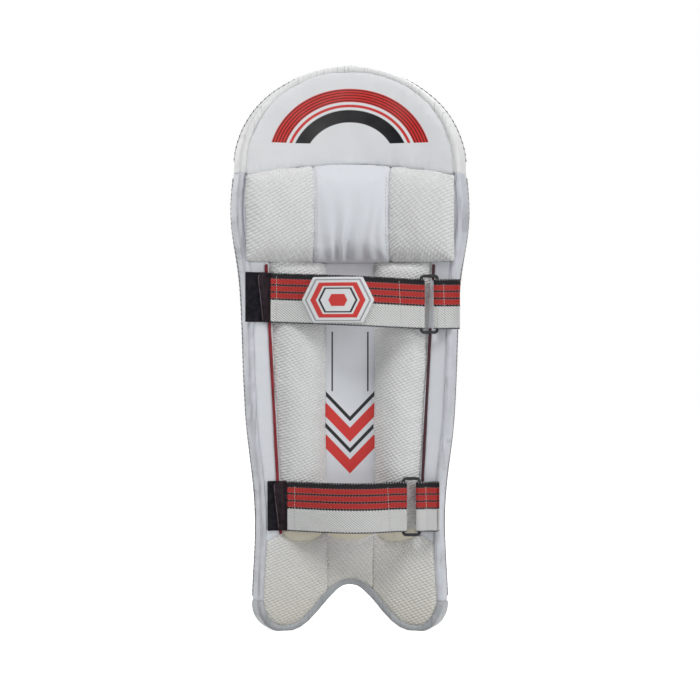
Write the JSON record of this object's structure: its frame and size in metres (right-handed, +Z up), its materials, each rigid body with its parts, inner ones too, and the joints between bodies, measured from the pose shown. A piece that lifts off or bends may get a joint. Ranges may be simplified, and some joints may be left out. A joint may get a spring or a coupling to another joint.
{
  "type": "cricket leg pad",
  "caption": "Padded batting leg guard with fanned top hat, knee rolls, channelled shin, padded inner face and buckled hook-and-loop straps.",
  "frame": {"origin": "middle of the overall box, on the floor under the two foot lobes", "axes": "+Z up along the shin, +X to the wearer's left, +Y to the wearer's back, the side the straps are on"},
  "size_m": [0.2964, 0.1069, 0.71],
  "materials": {
    "shell": "matte white synthetic leather, fine grain",
    "mesh": "white knitted mesh with small dimples",
    "satin": "smooth padded synthetic, slight sheen",
    "binding": "glossy silver-grey vinyl",
    "piping": "dark red cord piping",
    "webbing": "striped elastic webbing",
    "hook_tape": "black hook-and-loop tape",
    "ring": "black coated wire",
    "badge": "moulded soft badge",
    "foam": "dense closed-cell foam sheet",
    "cane": "split cane"
  },
  "bodies": {
    "pad": {"bolster_piping_left": "piping", "bolster_piping_right": "piping", "centre_panel": "satin", "core_shin": "foam", "foot_binding": "binding", "inner_bolster_left": "mesh", "inner_bolster_right": "mesh", "instep_badge": "badge", "instep_front_panel": "shell", "instep_lining_left": "mesh", "instep_lining_middle": "mesh", "instep_lining_right": "mesh", "knee_bolster_left": "mesh", "knee_bolster_middle": "satin", "knee_bolster_right": "mesh", "knee_cup": "foam", "knee_lining_left": "foam", "knee_lining_right": "foam", "knee_roll_lower": "shell", "knee_roll_middle": "shell", "knee_roll_upper": "shell", "lower_anchor_tab": "webbing", "lower_loop_patch": "hook_tape", "outer_wing": "shell", "shin_bolster_1": "shell", "shin_bolster_2": "shell", "shin_bolster_3": "shell", "shin_bolster_4": "shell", "shin_bolster_5": "shell", "shin_bolster_6": "shell", "shin_canes": "cane", "side_binding_left": "binding", "side_binding_right": "binding", "upper_anchor_tab": "webbing", "upper_loop_patch": "hook_tape", "wing_lining_left": "satin", "wing_lining_right": "satin"},
    "top_hat": {"core_top_hat": "foam", "top_binding": "binding", "top_hat_bolster_1": "shell", "top_hat_bolster_2": "shell", "top_hat_bolster_3": "shell", "top_hat_bolster_4": "shell", "top_hat_bolster_5": "shell", "top_hat_bolster_6": "shell", "top_hat_bolster_7": "shell", "top_hat_bolster_8": "shell", "top_hat_canes": "cane", "top_hat_lining": "satin"},
    "upper_ring": {"upper_ring": "ring"},
    "lower_ring": {"lower_ring": "ring"},
    "upper_strap": {"upper_webbing": "webbing", "upper_hook_tab": "hook_tape", "strap_badge": "badge"},
    "lower_strap": {"lower_webbing": "webbing", "lower_hook_tab": "hook_tape"}
  },
  "joints": [
    {"name": "knee_flex", "type": "hinge", "parent": "pad", "child": "top_hat", "pos_m": [0, 0.03037, 0.572], "axis": [-1, 0, 0], "range_deg": [0, 20]},
    {"name": "upper_ring_swing", "type": "hinge", "parent": "pad", "child": "upper_ring", "pos_m": [-0.1085, 0.02838, 0.409], "axis": [0, 0, 1], "range_deg": [0, 35]},
    {"name": "upper_strap_swing", "type": "hinge", "parent": "upper_ring", "child": "upper_strap", "pos_m": [-0.0885, 0.02838, 0.409], "axis": [0, 0, 1], "range_deg": [0, 105]},
    {"name": "lower_ring_swing", "type": "hinge", "parent": "pad", "child": "lower_ring", "pos_m": [-0.0865, 0.02636, 0.157], "axis": [0, 0, 1], "range_deg": [0, 35]},
    {"name": "lower_strap_swing", "type": "hinge", "parent": "lower_ring", "child": "lower_strap", "pos_m": [-0.0665, 0.02636, 0.157], "axis": [0, 0, 1], "range_deg": [0, 105]}
  ]
}
